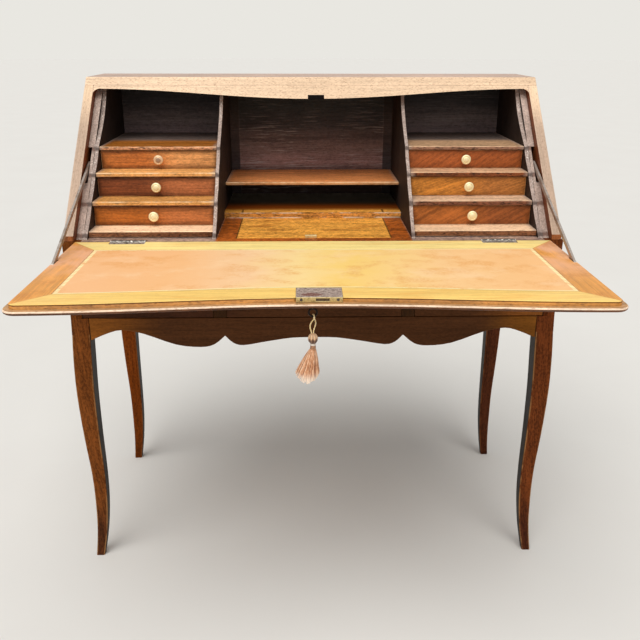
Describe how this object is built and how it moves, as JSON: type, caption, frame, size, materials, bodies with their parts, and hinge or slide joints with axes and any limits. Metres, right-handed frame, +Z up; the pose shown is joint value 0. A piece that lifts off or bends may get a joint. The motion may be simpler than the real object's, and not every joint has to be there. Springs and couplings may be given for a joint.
{
  "type": "slant-front desk",
  "caption": "Slant-front desk on curved legs: a hinged fall with a leather writing panel opens on two stays over small drawers, pigeonholes and a hidden well.",
  "frame": {"origin": "on the floor, under the middle of the outline of the desk with its fall open", "axes": "+Z up, +Y to the back of the desk, +X to the right of someone facing it"},
  "size_m": [0.958, 0.7953, 0.988],
  "materials": {
    "walnut": "worn waxed walnut",
    "case_wood": "worn pale walnut with fine grain",
    "dark_wood": "dark stained, scratched",
    "partition_wood": "dark faces with worn front edges",
    "drawer_wood": "polished red-brown veneer",
    "shelf_wood": "red-brown with worn front edges",
    "floor_wood": "golden, worn",
    "fall_wood": "honey veneer, waxed",
    "carcase_wood": "plain unpolished oak",
    "leather": "tan hide with a gilt border",
    "brass": "dull old brass",
    "iron": "rusted iron plate",
    "steel": "worn steel",
    "thread": "silky peach and gold thread"
  },
  "bodies": {
    "case": {"leg_front_left": "walnut", "leg_front_right": "walnut", "leg_rear_left": "walnut", "leg_rear_right": "walnut", "front_apron": "walnut", "side_rail_left": "walnut", "side_rail_right": "walnut", "frieze_stile_left": "walnut", "frieze_stile_right": "walnut", "dust_board": "carcase_wood", "case_floor": "floor_wood", "side_panel_left": "case_wood", "side_panel_right": "case_wood", "top_board": "case_wood", "top_rail": "case_wood", "back_board": "dark_wood", "strike_plate": "steel", "well_box": "carcase_wood", "centre_front": "walnut", "nest_side_left": "dark_wood", "nest_side_right": "dark_wood", "partition_left": "partition_wood", "partition_right": "partition_wood", "pigeonhole_shelf_left": "shelf_wood", "pigeonhole_shelf_right": "shelf_wood", "upper_divider_left": "shelf_wood", "upper_divider_right": "shelf_wood", "lower_divider_left": "shelf_wood", "lower_divider_right": "shelf_wood", "centre_shelf": "floor_wood", "nest_base": "shelf_wood", "hinge_case_leaf_left": "steel", "hinge_case_leaf_right": "steel"},
    "fall": {"lid_board": "fall_wood", "leather_panel": "leather", "lock_case": "iron", "hinge_lid_leaf_left": "steel", "hinge_lid_leaf_right": "steel"},
    "stay_left": {"stay_left": "steel"},
    "stay_right": {"stay_right": "steel"},
    "bolt": {"lock_bolt": "brass"},
    "key": {"key": "steel"},
    "tassel": {"tassel_cord": "thread", "tassel": "thread"},
    "well_cover": {"well_cover": "floor_wood", "well_pull": "brass"},
    "frieze_drawer_left": {"frieze_drawer_left": "walnut"},
    "frieze_drawer_right": {"frieze_drawer_right": "walnut"},
    "low_drawer_left": {"low_drawer_left": "drawer_wood", "low_knob_left": "brass"},
    "low_drawer_right": {"low_drawer_right": "drawer_wood", "low_knob_right": "brass"},
    "middle_drawer_left": {"middle_drawer_left": "drawer_wood", "middle_knob_left": "brass"},
    "middle_drawer_right": {"middle_drawer_right": "drawer_wood", "middle_knob_right": "brass"},
    "top_drawer_left": {"top_drawer_left": "drawer_wood", "top_knob_left": "brass"},
    "top_drawer_right": {"top_drawer_right": "drawer_wood", "top_knob_right": "brass"}
  },
  "joints": [
    {"name": "fall_hinge", "type": "hinge", "parent": "case", "child": "fall", "pos_m": [0, -0.03072, 0.705], "axis": [1, 0, 0], "range_deg": [-134.6, 0]},
    {"name": "stay_left_pivot", "type": "hinge", "parent": "fall", "child": "stay_left", "pos_m": [-0.447, -0.17472, 0.7015], "axis": [1, 0, 0], "range_deg": [0, 94]},
    {"name": "stay_right_pivot", "type": "hinge", "parent": "fall", "child": "stay_right", "pos_m": [0.447, -0.17472, 0.7015], "axis": [1, 0, 0], "range_deg": [0, 94]},
    {"name": "key_turn", "type": "hinge", "parent": "fall", "child": "key", "pos_m": [-0.007, -0.34268, 0.687], "axis": [0, 0, 1], "range_deg": [0, 90]},
    {"name": "bolt_slide", "type": "slide", "parent": "fall", "child": "bolt", "axis": [0, -1, 0], "range_m": [0, 0.008]},
    {"name": "tassel_swing", "type": "hinge", "parent": "key", "child": "tassel", "pos_m": [-0.007, -0.34268, 0.6683], "axis": [1, 0, 0], "range_deg": [0, 88.5]},
    {"name": "well_cover_slide", "type": "slide", "parent": "case", "child": "well_cover", "axis": [0, 1, 0], "range_m": [0, 0.148]},
    {"name": "frieze_drawer_left_slide", "type": "slide", "parent": "case", "child": "frieze_drawer_left", "axis": [0, -1, 0], "range_m": [0, 0.22]},
    {"name": "frieze_drawer_right_slide", "type": "slide", "parent": "case", "child": "frieze_drawer_right", "axis": [0, -1, 0], "range_m": [0, 0.22]},
    {"name": "low_drawer_left_slide", "type": "slide", "parent": "case", "child": "low_drawer_left", "axis": [0, -1, 0], "range_m": [0, 0.19]},
    {"name": "low_drawer_right_slide", "type": "slide", "parent": "case", "child": "low_drawer_right", "axis": [0, -1, 0], "range_m": [0, 0.19]},
    {"name": "middle_drawer_left_slide", "type": "slide", "parent": "case", "child": "middle_drawer_left", "axis": [0, -1, 0], "range_m": [0, 0.16]},
    {"name": "middle_drawer_right_slide", "type": "slide", "parent": "case", "child": "middle_drawer_right", "axis": [0, -1, 0], "range_m": [0, 0.16]},
    {"name": "top_drawer_left_slide", "type": "slide", "parent": "case", "child": "top_drawer_left", "axis": [0, -1, 0], "range_m": [0, 0.13]},
    {"name": "top_drawer_right_slide", "type": "slide", "parent": "case", "child": "top_drawer_right", "axis": [0, -1, 0], "range_m": [0, 0.13]}
  ],
  "couplings": [
    {"joint": "stay_left_pivot", "follows": "fall_hinge", "ratio": -0.69539},
    {"joint": "stay_right_pivot", "follows": "fall_hinge", "ratio": -0.69539},
    {"joint": "key_turn", "follows": "bolt_slide", "rad_per_m": 196.13},
    {"joint": "tassel_swing", "follows": "fall_hinge", "ratio": -0.65379}
  ]
}
